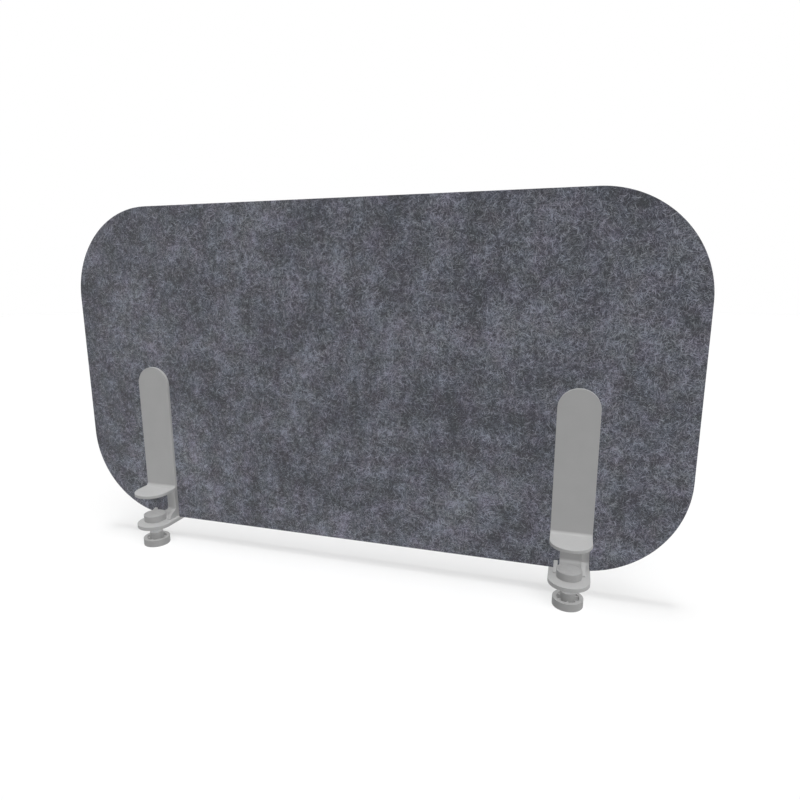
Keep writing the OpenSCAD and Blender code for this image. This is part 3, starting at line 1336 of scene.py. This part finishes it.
    def pad(self) -> Piece:
        """Make the moulded pad with its pocket and recess.

        Returns:
            The pad.
        """
        low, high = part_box(f"pad_{self.side}")
        outer = (high.x - low.x) / 2
        floor_z = low.z + self.pad_floor
        seat_z = high.z - self.facing_t
        bore = self.nose_r + self.bore_play
        return turn_piece(self.axis(), [
            Corner(bore, low.z, self.small_edge), Corner(outer, low.z, self.edge),
            Corner(outer, high.z, self.pad_edge), Corner(self.facing_r, high.z, self.fine_edge),
            Corner(self.facing_r, seat_z), Corner(self.pocket_r, seat_z, self.fine_edge),
            Corner(self.pocket_r, floor_z, self.fine_edge), Corner(bore, floor_z),
        ])

    def facing(self) -> Piece:
        """Make the rubber disc set into the pad."""
        low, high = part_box(f"pad_facing_{self.side}")
        return turn_piece(self.axis(), [
            Corner(0, low.z), Corner(self.facing_r, low.z, self.facing_edge),
            Corner(self.facing_r, high.z, self.edge), Corner(0, high.z),
        ], closed=False)

    def build(self, wardrobe: Wardrobe) -> None:
        """Make and dress the clamp screw.

        Args:
            wardrobe: The finishes.
        """
        screw_body = f"{self.side}_screw"
        pad_body = f"{self.side}_pad"
        made = {
            "thread_bush": (self.bush(), "screen", Slot.ZINC),
            "spindle": (self.spindle(), screw_body, Slot.ZINC),
            "knob": (self.knob(), screw_body, Slot.MOULDED),
            "knob_screw": (self.knob_screw(), screw_body, Slot.ZINC),
            "pad": (self.pad(), pad_body, Slot.MOULDED),
            "pad_facing": (self.facing(), pad_body, Slot.FACING),
        }
        for part, (piece, body, slot) in made.items():
            deliver(piece, f"{part}_{self.side}", body, slot, wardrobe)
        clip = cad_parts[f"pad_clip_{self.side}"]
        for index in range(len(clip.material_slots)):
            clip.material_slots[index].material = wardrobe.materials[Slot.ZINC]
        log.info("pad_clip_%s keeps its own solid", self.side)


# Studio


@dataclass(frozen=True)
class Lamp:
    """A distant lamp: height and side angles and spread in degrees, and strength.

    The side angle turns from the front to the right. Only the key and the top lamp throw
    shadows, and only the felt boards stop the top lamp, which keeps the folds of the
    clamps as open as plain soft light does.
    """

    name: str
    height: float
    side: float
    strength: float
    spread: float = 90
    shadows: bool = False
    blockers: tuple = ()

    def hang(self) -> None:
        """Add the lamp to the scene, once the pieces that alone stop it are there."""
        data = bpy.data.lights.new(self.name, "SUN")
        data.energy = self.strength
        data.angle = math.radians(self.spread)
        data.use_shadow = self.shadows
        data.cycles.use_multiple_importance_sampling = self.shadows
        height, side = math.radians(self.height), math.radians(self.side)
        level = math.cos(height)
        source = Vector((level * math.sin(side), -level * math.cos(side), math.sin(height)))
        lamp = bpy.data.objects.new(self.name, data)
        lamp.rotation_euler = source.to_track_quat("Z", "Y").to_euler()
        bpy.context.collection.objects.link(lamp)
        if self.blockers:
            stops = bpy.data.collections.new(f"{self.name}_blockers")
            for node in self.blockers:
                stops.objects.link(bpy.data.objects[f"fine_{node}"])
            lamp.light_linking.blocker_collection = stops


@dataclass
class Studio:
    """The pale floor, the light and the camera."""

    floor_z: float
    floor_r: float = 9.0
    floor_sides: int = 64
    camera_place: tuple = (0.332643, -0.821592, 0.36331)
    camera_turn: float = math.radians(16.779)
    camera_tilt: float = math.radians(11.495)
    sensor: float = 36.0
    lens: float = 25.914
    near: float = 10 * MM
    far: float = 100.0
    lamps: tuple[Lamp, ...] = (
        Lamp("key", 64, 35, 0.6, 36, shadows=True),
        Lamp("top", 90, 0, 0.9, 12, shadows=True, blockers=BOARDS),
        Lamp("high_fill", 58, 28, 1.6, 36),
        Lamp("right_fill", 5, 80, 0.8),
        Lamp("left_fill", 5, -50, 0.4),
        Lamp("back_fill", 5, 200, 0.9),
    )
    ambient: float = 0.16
    floor_shade: float = 0.3
    floor_seen: float = 0.85
    floor_glow: float = 0.17

    def camera(self) -> None:
        """Set up the camera at the photographed view."""
        data = bpy.data.cameras.new("view")
        data.sensor_width = self.sensor
        data.sensor_fit = "HORIZONTAL"
        data.lens = self.lens
        data.clip_start = self.near
        data.clip_end = self.far
        camera = bpy.data.objects.new("view", data)
        camera.location = self.camera_place
        camera.rotation_euler = (math.pi / 2 - self.camera_tilt, 0, self.camera_turn)
        bpy.context.collection.objects.link(camera)
        bpy.context.scene.camera = camera

    def world(self) -> None:
        """Even light from all round, white where it is seen."""
        world = bpy.data.worlds.new("studio")
        world.use_nodes = True
        bpy.context.scene.world = world
        wiring = Wiring(world.node_tree)
        ambient = wiring.tree.nodes["Background"]
        wiring.fill(ambient.inputs["Strength"], self.ambient)
        wiring.fill(ambient.inputs["Color"], (*WHITE, 1))
        white = wiring.add("ShaderNodeBackground", {"Color": (*WHITE, 1)})
        wiring.show(wiring.mix(wiring.seen_by_eye(), ambient, white), "World Output")

    def floor(self) -> None:
        """Lay the pale floor, which keeps the object's shadow."""
        bpy.ops.mesh.primitive_circle_add(
            vertices=self.floor_sides, radius=self.floor_r, fill_type="NGON",
            location=(0, 0, self.floor_z),
        )
        floor = bpy.context.object
        floor.name = "floor"
        material = bpy.data.materials.new("pale_floor")
        material.use_nodes = True
        wiring = Wiring(material.node_tree)
        wiring.tree.nodes.remove(wiring.tree.nodes["Principled BSDF"])
        plain = wiring.add("ShaderNodeBsdfDiffuse", {"Color": (*grey(self.floor_shade), 1)})
        seen = wiring.add("ShaderNodeBsdfDiffuse", {"Color": (*grey(self.floor_seen), 1)})
        lit = wiring.mix(self.floor_glow, seen, wiring.add("ShaderNodeEmission"))
        wiring.show(wiring.mix(wiring.seen_by_eye(), plain, lit), "Material Output")
        floor.data.materials.append(material)
        floor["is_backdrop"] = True

    def build(self) -> None:
        """Set up floor, light and camera."""
        bpy.ops.object.select_all(action="DESELECT")
        self.camera()
        for lamp in self.lamps:
            lamp.hang()
        self.world()
        self.floor()
        bpy.context.scene.view_settings.view_transform = "Standard"


def main() -> None:
    """Build the screen and its studio."""
    logging.basicConfig(level=logging.INFO, format="%(message)s")
    cad_low, cad_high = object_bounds()
    wardrobe = Wardrobe()
    panel = Panel()
    panel.build(wardrobe)
    for side in SIDES:
        Steelwork(side).build(panel, wardrobe)
        ClampScrew(side).build(wardrobe)
    Studio(floor_z=cad_low.z).build()


if __name__ == "__main__":
    main()
